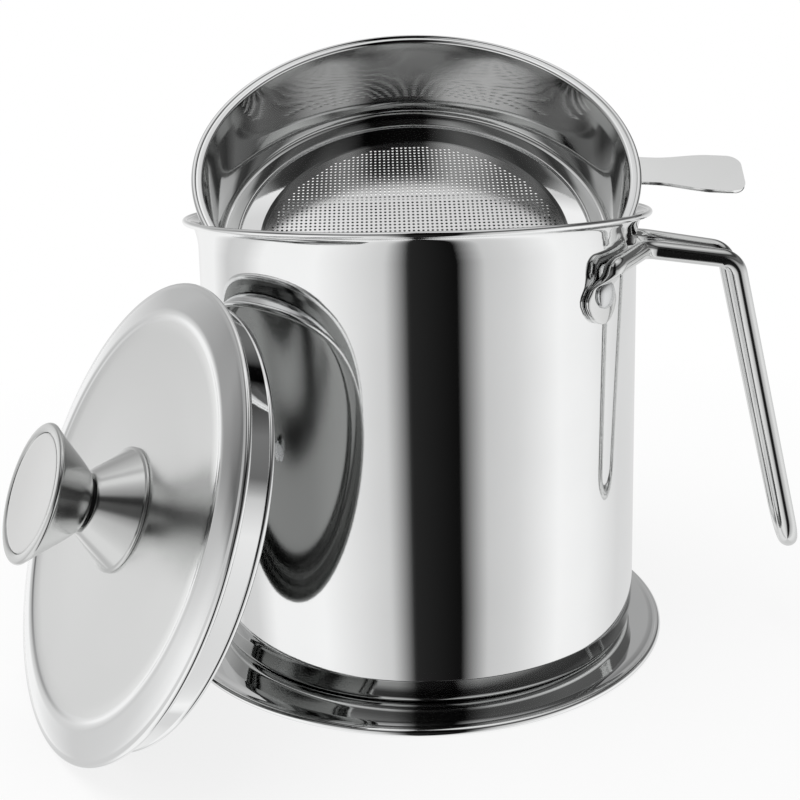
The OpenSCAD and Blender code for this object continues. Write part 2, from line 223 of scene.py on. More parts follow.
MIRROR = metal("steel_mirror", rough=(0.022, 0.045), wave=0.02)
WALL = metal("steel_wall", rough=(0.03, 0.055), along="z", turned=0.004, turn_scale=1500)
# darker tint: painted shade inside the pot and on its foot's corner and underside, down by the tray
INNER_PAINTED_SHADE = metal("steel_inner_painted_shade", tint=(0.62, 0.625, 0.62), rough=(0.045, 0.08), along="z", turned=0.006)
# dark tint: painted shade on the lid's underside and inside its collar
UNDER_PAINTED_SHADE = metal("steel_underside_painted_shade", tint=(0.3, 0.305, 0.3), rough=(0.16, 0.24), turned=0.02,
              axis=LID)
ROD = metal("steel_rod", tint=(0.74, 0.745, 0.74), rough=(0.07, 0.12))
LIDM = metal("steel_lid", rough=(0.06, 0.095), turned=0.006, turn_scale=1200, axis=LID)
PANEL = metal("steel_panel", tint=(0.9, 0.905, 0.9), rough=(0.2, 0.27), turned=0.01,
              turn_scale=1200, axis=LID)
KNOB = metal("steel_knob", tint=(0.68, 0.685, 0.68), rough=(0.1, 0.16), turned=0.05,
             turn_scale=1500, axis=LID)
FACE = metal("steel_knob_face", tint=(0.8, 0.8, 0.795), rough=(0.17, 0.24), turned=0.08,
             turn_scale=2000, axis=LID)
# darker tint: painted shade on the strainer's wall below its rim
BASKET_PAINTED_SHADE = metal("steel_basket_painted_shade", tint=(0.62, 0.625, 0.62), rough=(0.04, 0.07), turned=0.008,
               along="z", wave=0.03, axis=STRAINER)
TABM = metal("steel_tab", tint=(0.97, 0.975, 0.97), rough=(0.1, 0.16))
SATIN = metal("steel_satin", tint=(0.72, 0.73, 0.735), rough=(0.2, 0.3), turned=0.04)
ETCHED = metal("steel_etched", tint=(0.9, 0.9, 0.9), rough=(0.12, 0.2))
BLACK = plastic("black_ring", (0.012, 0.012, 0.013))


# ---------------------------------------------------------------- shapes
def smooth_by_angle(me, degrees):
    """Smooth shading with sharp edges where the surface turns."""
    bm = bmesh.new()
    bm.from_mesh(me)
    for f in bm.faces:
        f.smooth = True
    for e in bm.edges:
        e.smooth = not (len(e.link_faces) == 2 and e.calc_face_angle(0) > RAD(degrees))
    bm.to_mesh(me)
    bm.free()


def make(name, verts, faces, body, nodes, slot, mat, place=None, angle=38, more=(), pick=None):
    """A piece from points in mm, riding on a body and standing for its nodes. The further finishes
    are in more, and pick(radius, height, normal's z) gives a face its finish's number."""
    me = bpy.data.meshes.new(name)
    me.from_pydata([Vector(v) * MM for v in verts], [], faces)
    me.validate()
    bm = bmesh.new()
    bm.from_mesh(me)
    bmesh.ops.recalc_face_normals(bm, faces=bm.faces)
    bm.to_mesh(me)
    bm.free()
    smooth_by_angle(me, angle)
    ob = bpy.data.objects.new(name, me)
    bpy.context.scene.collection.objects.link(ob)
    for finish in (mat, *more):
        me.materials.append(finish)
    if more:
        for f in me.polygons:
            c = f.center / MM
            f.material_index = int(pick(math.hypot(c.x, c.y), c.z, f.normal.z))
    if place is not None:
        me.transform(place)
    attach(ob, body)
    for n in nodes:
        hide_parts(n)


def tube_faces(rings, seg, capped=True):
    """Faces between successive rings of seg points each, with the two end rings closed."""
    out = [(i * seg + k, i * seg + (k + 1) % seg, (i + 1) * seg + (k + 1) % seg, (i + 1) * seg + k)
           for i in range(rings - 1) for k in range(seg)]
    if capped:
        out += [tuple(reversed(range(seg))), tuple(range((rings - 1) * seg, rings * seg))]
    return out


def fillet(points, n=6):
    """A closed profile of (r, z[, corner radius]) with its corners rounded."""
    out = []
    count = len(points)
    for i, p in enumerate(points):
        rad = p[2] if len(p) > 2 else 0
        b = Vector(p[:2])
        if not rad:
            out.append(tuple(b))
            continue
        a = Vector(points[i - 1][:2])
        c = Vector(points[(i + 1) % count][:2])
        u, w = (a - b).normalized(), (c - b).normalized()
        turn = math.pi - u.angle(w)
        reach = min(rad * math.tan(turn / 2), 0.49 * (a - b).length, 0.49 * (c - b).length)
        r = reach / math.tan(turn / 2)
        m = (u + w).normalized()
        cen = b + m * (r / COS(turn / 2))
        e = b + u * reach - cen
        side = 1 if u.x * w.y - u.y * w.x < 0 else -1
        steps = max(2, round(n * turn / 1.57))
        for k in range(steps + 1):
            t = side * turn * k / steps
            out.append((cen.x + e.x * COS(t) - e.y * SIN(t), cen.y + e.x * SIN(t) + e.y * COS(t)))
    return out


def roll(cx, cz, r, a0, a1, n):
    """Points round a rolled bead from angle a0 to a1 in degrees, in n steps."""
    turns = [RAD(a0 + (a1 - a0) * i / n) for i in range(n + 1)]
    return [(cx + r * COS(a), cz + r * SIN(a)) for a in turns]


def spline(points, n):
    """A smooth open curve through (r, z) points, with n steps between two of them."""
    pts = [Vector(p) for p in points]
    pts = [2 * pts[0] - pts[1]] + pts + [2 * pts[-1] - pts[-2]]
    out = []
    for i in range(1, len(pts) - 2):
        p0, p1, p2, p3 = pts[i - 1:i + 3]
        for k in range(n):
            t = k / n
            out.append(tuple(0.5 * (2 * p1 + (p2 - p0) * t + (2 * p0 - 5 * p1 + 4 * p2 - p3) * t * t
                                    + (3 * p1 - p0 - 3 * p2 + p3) * t ** 3)))
    out.append(tuple(pts[-2]))
    return out


def lathe(name, profile, seg, **kw):
    """A closed profile turned round the z axis. Points with r below 1e-6 lie on the axis."""
    turns = [2 * math.pi * i / seg for i in range(seg)]
    pts = []
    for p in profile:
        if not pts or math.dist(p, pts[-1]) > 1e-4:
            pts.append(p)
    if math.dist(pts[0], pts[-1]) < 1e-4:
        pts.pop()
    verts, rings = [], []
    for r, z in pts:
        if r < 1e-6:
            rings.append([len(verts)])
            verts.append((0, 0, z))
        else:
            rings.append(list(range(len(verts), len(verts) + seg)))
            verts += [(r * COS(a), r * SIN(a), z) for a in turns]
    faces = []
    for a, b in zip(rings, rings[1:] + rings[:1]):
        if len(a) == 1 and len(b) == 1:
            continue
        for i in range(seg):
            j = (i + 1) % seg
            if len(a) == 1:
                faces.append((a[0], b[i], b[j]))
            elif len(b) == 1:
                faces.append((a[i], b[0], a[j]))
            else:
                faces.append((a[i], b[i], b[j], a[j]))
    make(name, verts, faces, **kw)


# ---------------------------------------------------------------- tray and pot
TRAY_R, TRAY_TOP, TRAY_T, TRAY_BEAD, TRAY_AT = 81.4, 2.2, 0.8, 1.0, (-2.3, -0.4, 0)
POT_R, POT_TOP, POT_T, LIP_R, LIP_BEAD = 70.0, 135.4, 0.6, 74.6, 0.9
FOOT_IN, FOOT_TURN, FOOT_H, FLOOR_RISE = 0.75, 2.6, 5.1, 0.8
WALL_STATIONS = (30, 60, 90, 115)


def build_tray():
    """A shallow round dish with a rolled edge, which the pot stands on."""
    top, r, low = TRAY_TOP, TRAY_R, TRAY_TOP - TRAY_T
    prof = [(0, low), (0, top), (r - 7, top)]
    prof += [(r - 4.4, top - 0.02), (r - 3.4, top - 0.1), (r - 2.6, top - 0.32), (r - 2.1, top - 0.4)]
    prof += [(r - 1.75, top - 0.4)] + roll(r - TRAY_BEAD, TRAY_BEAD, TRAY_BEAD, 128, -140, 28)
    prof += [(r - 2.2, low - 0.4), (r - 3.4, low)]
    lathe("tray_dish", prof, seg=320, place=Matrix.Translation(Vector(TRAY_AT) * MM), body="tray",
          nodes=["tray"], slot="polished_steel", mat=MIRROR)


def build_pot():
    """Straight wall with a raised floor, a turned-in foot and a flared lip with a bead."""
    ri, lz, lc = POT_R - POT_T, POT_TOP - LIP_BEAD, LIP_R - LIP_BEAD
    fx, zc = POT_R - FOOT_IN - FOOT_TURN, TRAY_TOP + FOOT_TURN     # centre of the foot's turn
    z1 = zc + FOOT_H                                               # where the straight wall starts
    low, raised = TRAY_TOP, TRAY_TOP + FLOOR_RISE
    outer = [(0, raised), (fx - 6, raised), (fx - 5.4, low + 0.4), (fx - 4.6, low)]
    outer += roll(fx, zc, FOOT_TURN, -90, 0, 12)
    outer += [(POT_R - 0.1, z1 - 0.5), (POT_R - 0.02, z1 - 0.25), (POT_R, z1)]
    outer += [(POT_R, z) for z in WALL_STATIONS]
    outer += spline([(POT_R, lz - 8), (POT_R + 0.12, lz - 6.6), (POT_R + 0.5, lz - 4.4),
                     (POT_R + 1.25, lz - 1.9), (POT_R + 2.3, lz - 0.75), (lc - 0.6, lz - 0.62)], 5)
    outer += roll(lc, lz, LIP_BEAD, 222, 508, 30)
    inner = spline([(lc - 0.85, lz + 0.2), (POT_R + 1.9, lz - 0.02), (POT_R + 0.85, lz - 1.3),
                    (ri + 0.42, lz - 4.3), (ri + 0.06, lz - 6.8), (ri, lz - 8.2)], 5)
    inner += [(ri, z) for z in reversed(WALL_STATIONS)] + [(ri, z1), (ri - 0.1, z1 - 0.5)]
    inner += roll(fx, zc, FOOT_TURN - POT_T, 0, -90, 12)
    inner += [(fx - 4.8, low + POT_T), (fx - 5.6, low + 0.4 + POT_T), (fx - 6.2, raised + POT_T),
              (0, raised + POT_T)]

    # faces that take the painted shade: the pot's inside, and the foot's corner and underside by the tray
    def dark(r, z, _):
        return (r < POT_R - 0.3 and 3.2 < z < POT_TOP - 3) or z < TRAY_TOP + 2.4

    lathe("pot_shell", outer + inner, seg=384, body="pot", nodes=["pot_body"],
          slot="polished_steel", mat=WALL, more=(INNER_PAINTED_SHADE,), pick=dark)


# ---------------------------------------------------------------- handle
ROD_D, ROD_SEG, ROD_GAP = 5.5, 48, 1.05
GRIP_Z, GRIP_W0 = 124.5, 17.5
GRIP_BEND, GRIP_END = (97.9, 12.9, 120.8), (115.3, 9.3, 40.3)
GRIP_RB, NECK_RB, LOBE_AZ, RIVET_Z = 6.0, 3.5, 33.3, 114.3
NECK_UP, NECK_BEND_UP, NECK_BEND_AZ = 4.5, 7.6, 2     # above the rivet, and back from it
LOBE_T, LOBE_OUT, LOBE_LOW, LOBE_RUN, LOBE_STEPS = 2.0, 1.02, 8.35, 5.0, 34
LOBE_MARKS = [(118.5, 3.3), (117.2, 4.3), (115.6, 5.6), (114.0, 6.7), (112.6, 7.2), (111.0, 7.0),
              (109.0, 5.9), (107.3, 4.2), (106.3, 2.6), (105.95, 1.4), (105.8, 0.4)]
U_STEPS, RIVET_R = 24, 3.98


def blend(t):
    """Smooth step from 0 to 1."""
    t = min(1, max(0, t))
    return t * t * (3 - 2 * t)


def polar(r, az, z):
    """The point at radius r, at az in radians, and z."""
    return Vector((r * COS(az), r * SIN(az), z))


def corner_points(a, b, c, r, n):
    """The rounded corner at b as points from the a side to the c side."""
    u, w = (a - b).normalized(), (c - b).normalized()
    turn = math.pi - u.angle(w)
    reach = r * math.tan(turn / 2)
    cen = b + (u + w).normalized() * (r / COS(turn / 2))
    p0, p1 = b + u * reach - cen, b + w * reach - cen
    out = []
    for i in range(n + 1):
        t = i / n
        out.append(cen + (p0 * SIN((1 - t) * turn) + p1 * SIN(t * turn)) / SIN(turn))
    return out


def run(p, q, n):
    """Points between p and q, without these two."""
    return [p.lerp(q, i / n) for i in range(1, n)]


def side_path(s):
    """Centre line of one side from just above its lobe to the start of the U."""
    rw = POT_R + ROD_D / 2
    near, az = rw + ROD_GAP, RAD(s * LOBE_AZ)
    a = polar(rw + 0.15, az, RIVET_Z + NECK_UP)
    p = polar(near, s * RAD(LOBE_AZ - NECK_BEND_AZ), RIVET_Z + NECK_BEND_UP)
    b = polar(near, s * math.asin(GRIP_W0 / near), GRIP_Z)
    c = Vector((GRIP_BEND[0], s * GRIP_BEND[1], GRIP_BEND[2]))
    d = Vector((GRIP_END[0], s * GRIP_END[1], GRIP_END[2]))
    neck, low = corner_points(a, p, b, NECK_RB, 10), corner_points(p, b, c, GRIP_RB, 14)
    high = corner_points(b, c, d, GRIP_RB, 14)
    start = neck + run(neck[-1], low[0], 8) + low + run(low[-1], high[0], 8)
    return start + high + run(high[-1], d, 14) + [d]


def lobe_width(z, top):
    """Half width of the flattened end at height z, from the round rod at top to the lobe's foot."""
    marks = [(top, ROD_D / 2)] + LOBE_MARKS
    for (z0, w0), (z1, w1) in zip(marks, marks[1:]):
        if z >= z1:
            return w0 + (w1 - w0) * max(0, min(1, (z0 - z) / (z0 - z1)))
    return marks[-1][1]


def lobe_rings(s, first):
    """Rings of the flattened end, which go on from the rod's end ring point by point."""
    az = RAD(s * LOBE_AZ)
    out_dir, side = polar(1, az, 0), polar(1, az + math.pi / 2, 0)
    centre = sum(first, Vector()) / ROD_SEG
    angles = [math.atan2((v - centre).dot(side), (v - centre).dot(out_dir)) for v in first]
    from_axis, start_az = math.hypot(centre.x, centre.y), math.atan2(centre.y, centre.x)
    z_low = RIVET_Z - LOBE_LOW
    rings = []
    for i in range(1, LOBE_STEPS + 1):
        z = centre.z + (z_low - centre.z) * i / LOBE_STEPS
        k = blend((centre.z - z) / LOBE_RUN)
        half_t = ROD_D / 2 + (LOBE_T / 2 - ROD_D / 2) * k
        r = from_axis + (POT_R + LOBE_OUT - from_axis) * k
        w = lobe_width(z, centre.z)
        power = 2 / (2 + 2.2 * k)                     # from a circle towards a rounded bar
        th = start_az * (1 - k) + az * k
        ring = []
        for a in angles:
            x = math.copysign(abs(COS(a)) ** power, COS(a)) * half_t
            y = math.copysign(abs(SIN(a)) ** power, SIN(a)) * w
            flat = polar(r + x, th, z) + polar(y, th + math.pi / 2, 0)
            bent = polar(r + x, th + y / (POT_R + 1), z)
            ring.append(flat.lerp(bent, k))
        rings.append(ring)
    return rings


def build_handle():
    """One bent rod, round along its loop and flattened where it is riveted to the wall."""
    mid = Vector((GRIP_END[0], 0, GRIP_END[2]))
    down = (mid - Vector((GRIP_BEND[0], 0, GRIP_BEND[2]))).normalized()
    turns = [math.pi * i / U_STEPS for i in range(1, U_STEPS)]
    u_bend = [mid + Vector((0, -GRIP_END[1] * COS(a), 0)) + down * (GRIP_END[1] * SIN(a)) for a in turns]
    path = side_path(-1) + u_bend + side_path(1)[::-1]
    ahead, behind = path[1:] + path[-1:], path[:1] + path[:-1]
    nrm = polar(1, RAD(-LOBE_AZ), 0)
    loop = []
    for p, q, o in zip(path, ahead, behind):
        t = (q - o).normalized()
        nrm = (nrm - t * nrm.dot(t)).normalized()
        b = t.cross(nrm)
        angles = [2 * math.pi * k / ROD_SEG for k in range(ROD_SEG)]
        loop.append([p + (nrm * COS(a) + b * SIN(a)) * (ROD_D / 2) for a in angles])
    rings = lobe_rings(-1, loop[0])[::-1] + loop + lobe_rings(1, loop[-1])
    verts = [v for ring in rings for v in ring]
    make("handle_loop", verts, tube_faces(len(rings), ROD_SEG), body="pot", nodes=["handle_rod"],
         slot="polished_steel", mat=ROD, angle=50)


def build_rivet(s, name, node):
    """A domed rivet through lobe and wall, with its flat head inside."""
    across = Matrix.Translation((0, 0, RIVET_Z * MM)) @ Matrix.Rotation(RAD(90), 4, "Y")
    place = Matrix.Rotation(RAD(s * LOBE_AZ), 4, "Z") @ across
    ro, ri = POT_R + LOBE_T, POT_R - POT_T
    prof = [(0, ri - 1.33), (3.4, ri - 1.3), (4.2, ri - 1.1), (4.5, ri - 0.75), (4.5, ri - 0.13)]
    prof += [(1.98, ri - 0.13), (1.98, ro - 0.05), (3.8, ro - 0.05), (RIVET_R, ro + 0.2)]
    prof += [(RIVET_R * COS(RAD(a)), ro + 0.45 + 1.35 * SIN(RAD(a))) for a in range(5, 90, 7)]
    prof += [(0, ro + 1.8)]
    lathe(name, prof, seg=64, place=place, body="pot", nodes=[node], slot="satin_steel", mat=SATIN)


# ---------------------------------------------------------------- strainer
RIM_R, RIM_BEAD, RING_R0, RING_R1, LEDGE_D, LEDGE_R = 71.0, 0.8, 67.3, 66.4, 32.8, 60.8
MESH_R, MESH_D, RING_T, LEDGE_TURN = 52.1, 35.2, 0.6, 1.6
TAB_R, TAB_W0, TAB_W1, TAB_T, TAB_AZ = 102.0, 10.8, 16.2, 1.2, 84.0
TAB_NECK, TAB_FLARE, TAB_CORNER, TAB_TOP = 4, 18, 4, -1.1
HOLE_PITCH, HOLE_R, HOLE_SIDES, MESH_EDGE = 1.63, 0.46, 8, 0.9
MESH_HIGH, MESH_LOW = 0.3, 0.02                # the sheet's two sides above the frame


def build_strainer():
    """Wall with a rolled rim, the ledge with the collar that slopes to the mesh, and the bead on
    the ledge's inner edge."""
    b, zf, kw = RIM_BEAD, -RIM_BEAD, dict(place=STRAINER, body="strainer", slot="polished_steel")
    r0, r1, t, d = RING_R0, RING_R1, RING_T, LEDGE_D
    edge = r1 - LEDGE_TURN
    prof = roll(RIM_R - b, zf, b, 200, 520, 36)
    prof += spline([(RIM_R - b - 0.9, zf + 0.28), (r0 + 1.5, zf + 0.26), (r0 + 0.6, zf + 0.05),
                    (r0 + 0.12, zf - 0.5), (r0, zf - 1.2)], 5)
    prof += [(r0 + (r1 - r0) * k / 6, zf - 1.2 + (3.2 - d - zf) * k / 6) for k in range(1, 6)]
    prof += spline([(r1, -d + 2.0), (r1 - 0.22, -d + 1.0), (r1 - 0.8, -d + 0.3), (edge, -d)], 4)
    prof += [(edge, -d - t)]
    prof += spline([(r1 - 1.2, -d - t), (r1 - 0.35, -d - t + 0.25), (r1 + 0.3, -d + 0.3),
                    (r1 + t, -d + 1.6)], 4)
    prof += [(r0 + t, zf - 1.3), (r0 + t + 0.25, zf - 0.62), (r0 + t + 0.9, zf - 0.32)]
    # the wall between rim and ledge takes the darker tint of painted shade
    lathe("strainer_wall", prof, seg=320, nodes=["strainer_ring"], mat=MIRROR, more=(BASKET_PAINTED_SHADE,),
          pick=lambda r, z, _: -LEDGE_D + 0.1 < z < -1.3, **kw)
    z0, z1 = -d - t, -MESH_D
    edge -= 0.05
    prof = [(edge, z0), (edge, -d), (LEDGE_R, -d), (LEDGE_R, z0), (LEDGE_R - 0.9, z0)]
    prof += [(LEDGE_R - 1.5, z0 - 0.1), (MESH_R + 1.7, z1 + 0.05), (MESH_R + 1.2, z1)]
    prof += [(MESH_R - 1.4, z1), (MESH_R - 1.4, z1 - t), (MESH_R + 1.2, z1 - t)]
    prof += [(LEDGE_R - 1.2, z0 - t - 0.2), (edge - 1, z0 - t), (edge - 1, z0)]
    lathe("mesh_collar", prof, seg=288, nodes=["mesh_frame"], mat=MIRROR, **kw)
    lathe("ledge_bead", roll(LEDGE_R - 0.55, -d - 0.05, 0.54, 0, 360, 24), seg=288,
          nodes=["mesh_ring"], mat=MIRROR, **kw)


def build_mesh():
    """Etched sheet: square grid of round holes cut right through."""
    pitch, half, sides = HOLE_PITCH, HOLE_PITCH / 2, HOLE_SIDES
    reach = MESH_R - MESH_EDGE
    n = int(reach / pitch) + 1
    z_top, z_low = -MESH_D + MESH_HIGH, -MESH_D + MESH_LOW
    turns = [2 * math.pi * (k + 0.5) / sides for k in range(sides)]
    verts, faces, index = [], [], {}

    def key(*p):
        return tuple(round(v, 4) for v in p)

    def vert(x, y, z):
        k = key(x, y, z)
        if k not in index:
            index[k] = len(verts)
            verts.append((x, y, z))
        return index[k]

    span = range(-n, n + 1)
    cells = {(i, j) for i in span for j in span if math.hypot(i, j) * pitch < reach - pitch}
    for i, j in cells:
        cx, cy = i * pitch, j * pitch
        ring = [(cx + HOLE_R * COS(a), cy + HOLE_R * SIN(a)) for a in turns]
        box = [(cx + half, cy + half), (cx - half, cy + half), (cx - half, cy - half), (cx + half, cy - half)]
        for z, low in ((z_top, False), (z_low, True)):
            rv = [vert(x, y, z) for x, y in ring]
            bv = [vert(x, y, z) for x, y in box]
            for q in range(4):
                tri = (rv[2 * q], bv[q], rv[2 * q + 1])
                quad = (rv[2 * q - 1], bv[q - 1], bv[q], rv[2 * q])
                faces.append(tri if low else tri[::-1])
                faces.append(quad[::-1] if low else quad)
        for (x0, y0), (x1, y1) in zip(ring, ring[1:] + ring[:1]):
            faces.append((vert(x0, y0, z_top), vert(x1, y1, z_top), vert(x1, y1, z_low), vert(x0, y0, z_low)))
    # plain rim from the stepped edge of the grid out to the round edge
    steps, start = {}, None
    for i, j in cells:
        for di, dj in ((1, 0), (0, 1), (-1, 0), (0, -1)):
            if (i + di, j + dj) not in cells:
                sx, sy = (i + di / 2) * pitch, (j + dj / 2) * pitch
                a = (sx - dj * half, sy + di * half)
                steps[key(sx + dj * half, sy - di * half)] = a
                start = start or a
    loop, p = [start], steps[key(*start)]
    while math.dist(p, start) > 1e-3:
        loop.append(p)
        p = steps[key(*p)]
    outer = [(MESH_R * x / math.hypot(x, y), MESH_R * y / math.hypot(x, y)) for x, y in loop]
    for a, b, c, d in zip(loop, loop[1:] + loop[:1], outer[1:] + outer[:1], outer):
        for z in (z_top, z_low):
            faces.append(tuple(vert(x, y, z) for x, y in (a, b, c, d)))
        faces.append((vert(*d, z_top), vert(*c, z_top), vert(*c, z_low), vert(*d, z_low)))
    make("etched_mesh", verts, faces, place=STRAINER, body="strainer", nodes=["strainer_mesh"],
         slot="mesh_steel", mat=ETCHED, angle=30)


def build_tab():
    """Flat pressed tab: waisted outline with round outer corners and rounded edges, standing on
    the rim's underside."""
    z1, z0 = TAB_TOP, TAB_TOP - TAB_T
    w0, w1, r = TAB_W0 / 2, TAB_W1 / 2, TAB_CORNER
    x0, x1 = RING_R0 + 1.2, TAB_R - r
    xs = [x0 + i * (x1 - x0) / 40 for i in range(41)]
    half = [(x, w0 + 0.3 + (w1 - w0 - 0.3) * blend((x - RIM_R - TAB_NECK) / TAB_FLARE)) for x in xs]
    half += [(x1 + r * SIN(RAD(a)), w1 - r + r * COS(RAD(a))) for a in range(9, 91, 9)]
    outline = [Vector(p) for p in half + [(x, -y) for x, y in reversed(half)]]
    turn = Matrix.Rotation(RAD(TAB_AZ), 2)
    n = len(outline)

    def inset(d):
        out = []
        for i, b in enumerate(outline):
            t = (outline[(i + 1) % n] - outline[i - 1]).normalized()
            out.append(b + Vector((-t.y, t.x)) * d)
        return out

    verts = []
    layers = [(z0, 0.34), (z0 + 0.1, 0.12), (z0 + 0.3, 0), (z1 - 0.3, 0), (z1 - 0.1, 0.12), (z1, 0.34)]
    for z, d in layers:
        verts += [(*(turn @ p), z) for p in inset(d)]
    faces = tube_faces(len(layers), n, capped=False)
    last = (len(layers) - 1) * n
    for i in range(n // 2 - 1):
        # the two flat sides, as strips across the tab
        faces.append((i, i + 1, n - 2 - i, n - 1 - i))
        faces.append((last + n - 1 - i, last + n - 2 - i, last + i + 1, last + i))
    make("strainer_tab_plate", verts, faces, place=STRAINER, body="strainer",
         nodes=["strainer_tab"], slot="polished_steel", mat=TABM, angle=30)


# ---------------------------------------------------------------- lid
SKIRT_C = (LID_Z - SIN(RAD(LEAN)) * (SKIRT_D - SKIRT_BEAD) - SKIRT_BEAD) / COS(RAD(LEAN)) - 0.02
SKIRT_R = SKIRT_C + 0.6
KNOB_FOOT, KNOB_EDGE, FACE_R = 17.2, 18.6, 15.8
KNOB_Z1, KNOB_Z2, GROOVE = 11.7, 26.4, 0.9


def under(r):
    """Height of the sloping flange's underside at radius r."""
    return FLANGE_H - LID_T - (FLANGE_H - 0.7) * (r - PANEL_R - 1) / (LID_C - PANEL_R - 1)


def build_lid():
    """Domed panel inside a raised, sloping flange with a beaded edge, and the collar below it."""
    kw = dict(place=LID, body="lid", slot="polished_steel")
    p, f, t = PANEL_H, FLANGE_H, LID_T
    top = spline([(0, p), (12, p + 0.01), (24, p + 0.08), (36, p + 0.27), (46, p + 0.62), (51, p + 0.86)], 4)
    top += spline([(53.1, p + 1.1), (54.0, f - 0.42), (54.8, f - 0.14), (55.6, f - 0.01), (56.5, f),
                   (57.5, f - 0.16), (60, f - 0.68), (62.2, f - 1.25), (63.3, f - 1.62)], 5)
    top += roll(LID_C, 0, LID_BEAD, 88, -190, 30)
    low = [(r, under(r)) for r in (LID_C - 0.9, 62, 60, 58, 57)]
    low += spline([(56.3, f - t), (55.3, f - t - 0.06), (54.4, f - t - 0.4), (53.2, p + 1.1 - t),
                   (50, p + 0.8 - t), (40, p + 0.4 - t), (20, p + 0.05 - t), (0, p - t)], 4)
    # the lid's underside takes the dark tint of painted shade
    lathe("lid_plate", top + low, seg=320, nodes=["lid_shell"], mat=LIDM, more=(PANEL, UNDER_PAINTED_SHADE),
          pick=lambda r, z, nz: (r < 53.2) if nz > 0 else 2 * (r < LID_C - 1), **kw)
    zb, wall = -SKIRT_D + SKIRT_BEAD, SKIRT_R - LID_T
    prof = [(wall, under(wall)), (SKIRT_R, under(SKIRT_R)), (SKIRT_R, zb + 2), (SKIRT_R, zb + 0.8)]
    prof += roll(SKIRT_C, zb, SKIRT_BEAD, 50, -230, 28) + [(wall, zb + 1.0), (wall, zb + 2)]
    # the collar's inside takes the dark tint of painted shade
    lathe("lid_collar", prof, seg=320, nodes=["lid_skirt"], mat=MIRROR, more=(UNDER_PAINTED_SHADE,),
          pick=lambda r, z, nz: r < SKIRT_R - 0.4, **kw)


def build_knob():
    """Two cones foot to foot with a dark groove between them, and a flat face in the upper one."""
    kw = dict(place=LID, body="lid")
    z1, z2, z0 = KNOB_Z1, KNOB_Z2, KNOB_Z1 + GROOVE
    foot = [(0, PANEL_H), (KNOB_FOOT - 0.5, PANEL_H + 0.02)]
    foot += roll(KNOB_FOOT - 0.45, PANEL_H + 0.55, 0.45, -70, 70, 8)
    foot += spline([(16.2, 1.9), (15.1, 3.3), (13.6, 5.2), (11.8, 7.5), (9.9, 9.9), (8.7, z1 - 0.35),
                    (8.2, z1 - 0.05)], 4)
    foot += [(7.8, z1), (0, z1)]
    lathe("knob_foot", foot, seg=192, nodes=["knob_foot_cone"], slot="knob_steel", mat=KNOB, **kw)
    groove = fillet([(0, z1), (6.6, z1, 0.2), (6.6, z0, 0.2), (0, z0)])
    lathe("knob_groove", groove, seg=128, nodes=["knob_groove_ring"], slot="dark_ring", mat=BLACK, **kw)
    top = [(0, z0), (7.8, z0)]
    top += spline([(8.2, z0 + 0.08), (8.7, z0 + 0.4), (9.9, z0 + 1.7), (11.9, z0 + 4.2), (14.2, z0 + 7.3),
                   (16.4, z0 + 10.2), (17.9, z2 - 1.7), (18.35, z2 - 1.1)], 4)
    top += roll(KNOB_EDGE - 0.75, z2 - 0.75, 0.75, -10, 90, 10)
    top += [(FACE_R + 0.5, z2), (FACE_R + 0.2, z2 - 0.12), (FACE_R + 0.1, z2 - 0.35)]
    top += [(FACE_R + 0.1, z2 - 1.2), (0, z2 - 1.2)]
    lathe("knob_flare", top, seg=192, nodes=["knob_top_cone"], slot="knob_steel", mat=KNOB, **kw)
    face = [(0, z2 - 1.2), (FACE_R, z2 - 1.2), (FACE_R, z2 - 0.42)]
    face += spline([(FACE_R - 0.15, z2 - 0.24), (FACE_R - 0.6, z2 - 0.17), (12, z2 - 0.25),
                    (6, z2 - 0.38), (0, z2 - 0.43)], 5)
    lathe("knob_disc", face, seg=192, nodes=["knob_face"], slot="knob_steel", mat=FACE, **kw)


def finish_screw():
    """The hidden screw stays the part's own solid, in satin steel."""
    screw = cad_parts["knob_screw"]
    for slot in screw.material_slots:
        slot.material = SATIN
    if not screw.material_slots:
        screw.data.materials.append(SATIN)


build_tray()
build_pot()
build_handle()
build_rivet(-1, "rivet_front_dome", "rivet_front")
build_rivet(1, "rivet_rear_dome", "rivet_rear")
build_strainer()
build_mesh()
build_tab()
build_lid()
build_knob()
finish_screw()


# ---------------------------------------------------------------- studio
FLOOR_R, FLOOR_SIDES, FLOOR_DROP, PAPER = 8.0, 64, 0.00005, 0.86
FLOOR_WHITE = [(0.16, 0.82), (0.42, 1.0)]      # by distance in metres from the pot's axis
FRONT = RAD(-80.2)                             # bearing of the camera from the pot
SOFT_LIGHT = 0.75                              # the room's level on matt surfaces
LAMP_AT, LAMP_AIM, LAMP_SIZE, LAMP_POWER = (-0.25, -0.35, 1.5), (0, 0, 0.05), 1.2, 9

# what the metal sees: levels by bearing, 0 towards the camera and growing to its right
SIDES = [(-176, 0.75), (-150, 0.95), (-128, 0.98), (-112, 0.66), (-98, 0.72), (-84, 0.98), (-52, 1.0),
         (-16, 0.66), (-4, 0.02), (20, 0.005), (34, 0.62), (50, 0.72), (75, 1.0), (96, 0.95), (125, 0.75),
         (170, 0.75)]
IN_FRONT = [(-104, 0.0), (-88, 1.0), (146, 1.0), (162, 0.0)]
# and by elevation: the room in front, and everywhere
ROOM = [(-90, 1.0), (11, 1.0), (18, 0.28), (31, 0.38), (38, 0.1), (45, 0.14), (51, 0.85), (62, 0.96),
        (90, 1.0)]
FALL_OFF = [(-90, 1.0), (-3, 1.0), (5, 0.8), (14, 0.55), (34, 0.5), (60, 0.75), (75, 1.0)]


def white(node, strength=1.0):
    """Makes an emission or background node plain white."""
    node.inputs[0].default_value = (1, 1, 1, 1)
    node.inputs[1].default_value = strength
    return node.outputs[0]


def mix(t, amount, first, second):
    """Mixes two shaders."""
    n = t.add("ShaderNodeMixShader")
    for socket, value in zip(n.inputs, (amount, first, second)):
        t.link(value, socket)
    return n.outputs[0]


